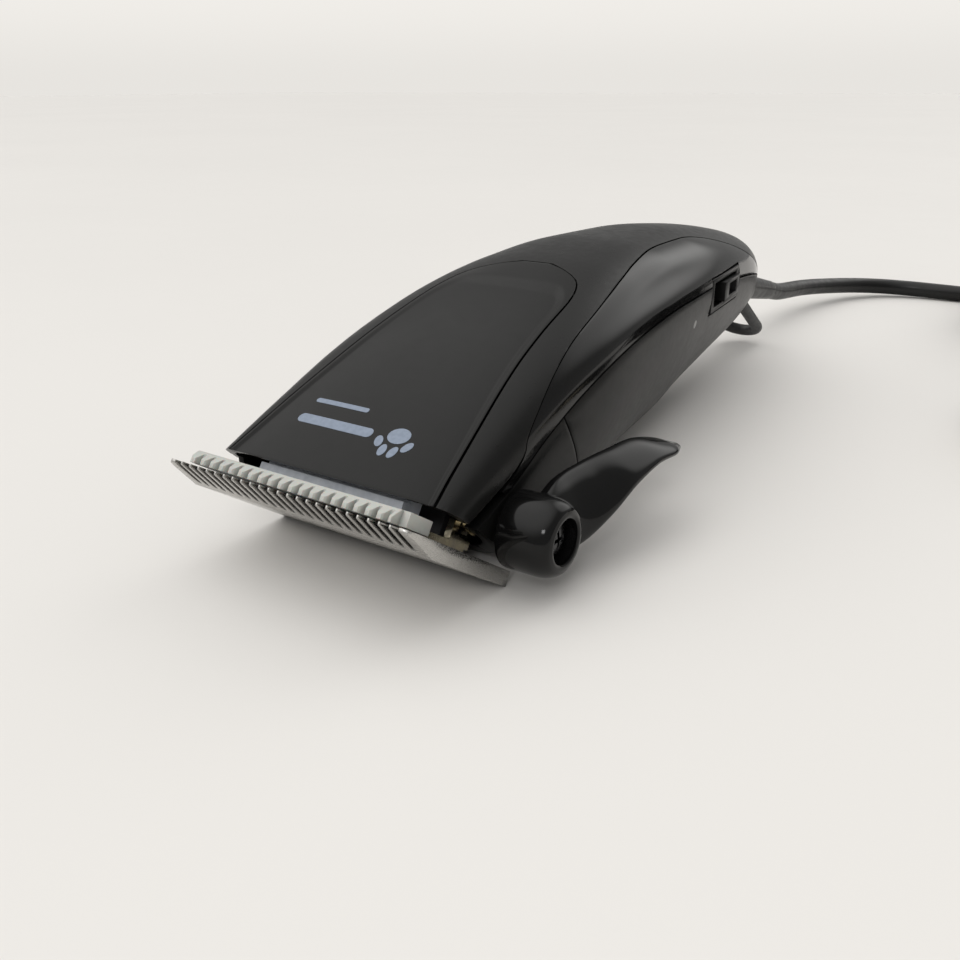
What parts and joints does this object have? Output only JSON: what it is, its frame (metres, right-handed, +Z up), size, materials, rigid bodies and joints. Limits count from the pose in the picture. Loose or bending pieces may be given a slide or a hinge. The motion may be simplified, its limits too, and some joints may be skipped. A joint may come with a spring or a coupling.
{
  "type": "electric pet clipper",
  "caption": "Corded pet clipper lying on its underside: comb blade with a ceramic cutter, black housing, side taper lever, slide switch, hanging loop and coiled lead.",
  "frame": {"origin": "on the flat of the underside, in the clipper's middle plane, 70 mm behind the tooth tips", "axes": "+Y from the blade to the tail, +X to the taper-lever side, +Z up off the surface it lies on"},
  "size_m": [0.1168, 0.2498, 0.037],
  "materials": {
    "gloss_black": "polished black",
    "satin_black": "fine satin texture",
    "inner_plastic": "moulded",
    "blade_steel": "ground and polished",
    "nickel": "nickel plated",
    "white_ceramic": "fine matt zirconia",
    "grey_plastic": "moulded",
    "core_steel": "varnished laminations",
    "copper_enamel": "enamelled copper wire",
    "zinc_screw": "zinc plated",
    "cord_rubber": "matt",
    "red_pvc": "wire insulation",
    "blue_pvc": "wire insulation"
  },
  "bodies": {
    "housing": {"arm_bracket": "core_steel", "arm_pivot_pin": "zinc_screw", "blade_screw_left": "zinc_screw", "blade_screw_right": "zinc_screw", "blade_seat": "inner_plastic", "clamp_screw_left": "zinc_screw", "clamp_screw_right": "zinc_screw", "coil_former": "inner_plastic", "coil_winding": "copper_enamel", "cord_clamp": "inner_plastic", "cord_coil": "cord_rubber", "cord_end": "cord_rubber", "cord_inner": "cord_rubber", "cord_tie": "cord_rubber", "cord_tube": "cord_rubber", "fixed_blade": "blade_steel", "front_panel": "satin_black", "hanging_loop": "satin_black", "housing_screw_front": "zinc_screw", "housing_screw_rear": "zinc_screw", "lead_wire_live": "red_pvc", "lead_wire_neutral": "blue_pvc", "lower_housing": "satin_black", "nose_housing": "satin_black", "plug_body": "cord_rubber", "plug_pin_left": "nickel", "plug_pin_right": "nickel", "stator_core": "core_steel", "strain_relief": "cord_rubber", "switch_body": "inner_plastic", "switch_frame": "satin_black", "switch_tag_front": "nickel", "switch_tag_rear": "nickel", "top_cover": "satin_black", "upper_housing": "gloss_black"},
    "lever": {"taper_lever": "gloss_black", "lever_shaft": "nickel", "lever_screw": "zinc_screw"},
    "slide": {"blade_slide": "nickel", "blade_tension_spring": "nickel"},
    "cutter": {"moving_blade": "white_ceramic", "cutter_carrier": "grey_plastic"},
    "armature": {"armature_arm": "blade_steel", "armature_core": "core_steel", "armature_rivet_front": "zinc_screw", "armature_rivet_rear": "zinc_screw", "drive_finger": "grey_plastic"},
    "switch_knob": {"switch_slider": "satin_black"},
    "power_adjuster": {"power_screw": "zinc_screw"}
  },
  "joints": [
    {"name": "lever_turn", "type": "hinge", "parent": "housing", "child": "lever", "pos_m": [0.02, -0.0491, 0.0084], "axis": [1, 0, 0], "range_deg": [0, 60]},
    {"name": "blade_slide_shift", "type": "slide", "parent": "housing", "child": "slide", "axis": [0, 0.8261, -0.5635], "range_m": [0, 0.0015]},
    {"name": "armature_swing", "type": "hinge", "parent": "housing", "child": "armature", "pos_m": [0.006, 0.035, 0.017], "axis": [0, 0, 1], "range_deg": [-0.75, 0.75], "stiffness_Nm_per_rad": 2},
    {"name": "cutter_stroke", "type": "slide", "parent": "slide", "child": "cutter", "axis": [1, 0, 0], "range_m": [-0.00125, 0.00125]},
    {"name": "switch_slide", "type": "slide", "parent": "housing", "child": "switch_knob", "axis": [0.108, -0.9942, 0], "range_m": [0, 0.0035]},
    {"name": "power_screw_turn", "type": "hinge", "parent": "housing", "child": "power_adjuster", "pos_m": [-0.018, -0.01, 0.017], "axis": [1, 0, 0], "continuous": true}
  ],
  "couplings": [
    {"joint": "lever_turn", "follows": "blade_slide_shift", "rad_per_m": 698},
    {"joint": "cutter_stroke", "follows": "armature_swing", "m_per_rad": 0.0918}
  ]
}
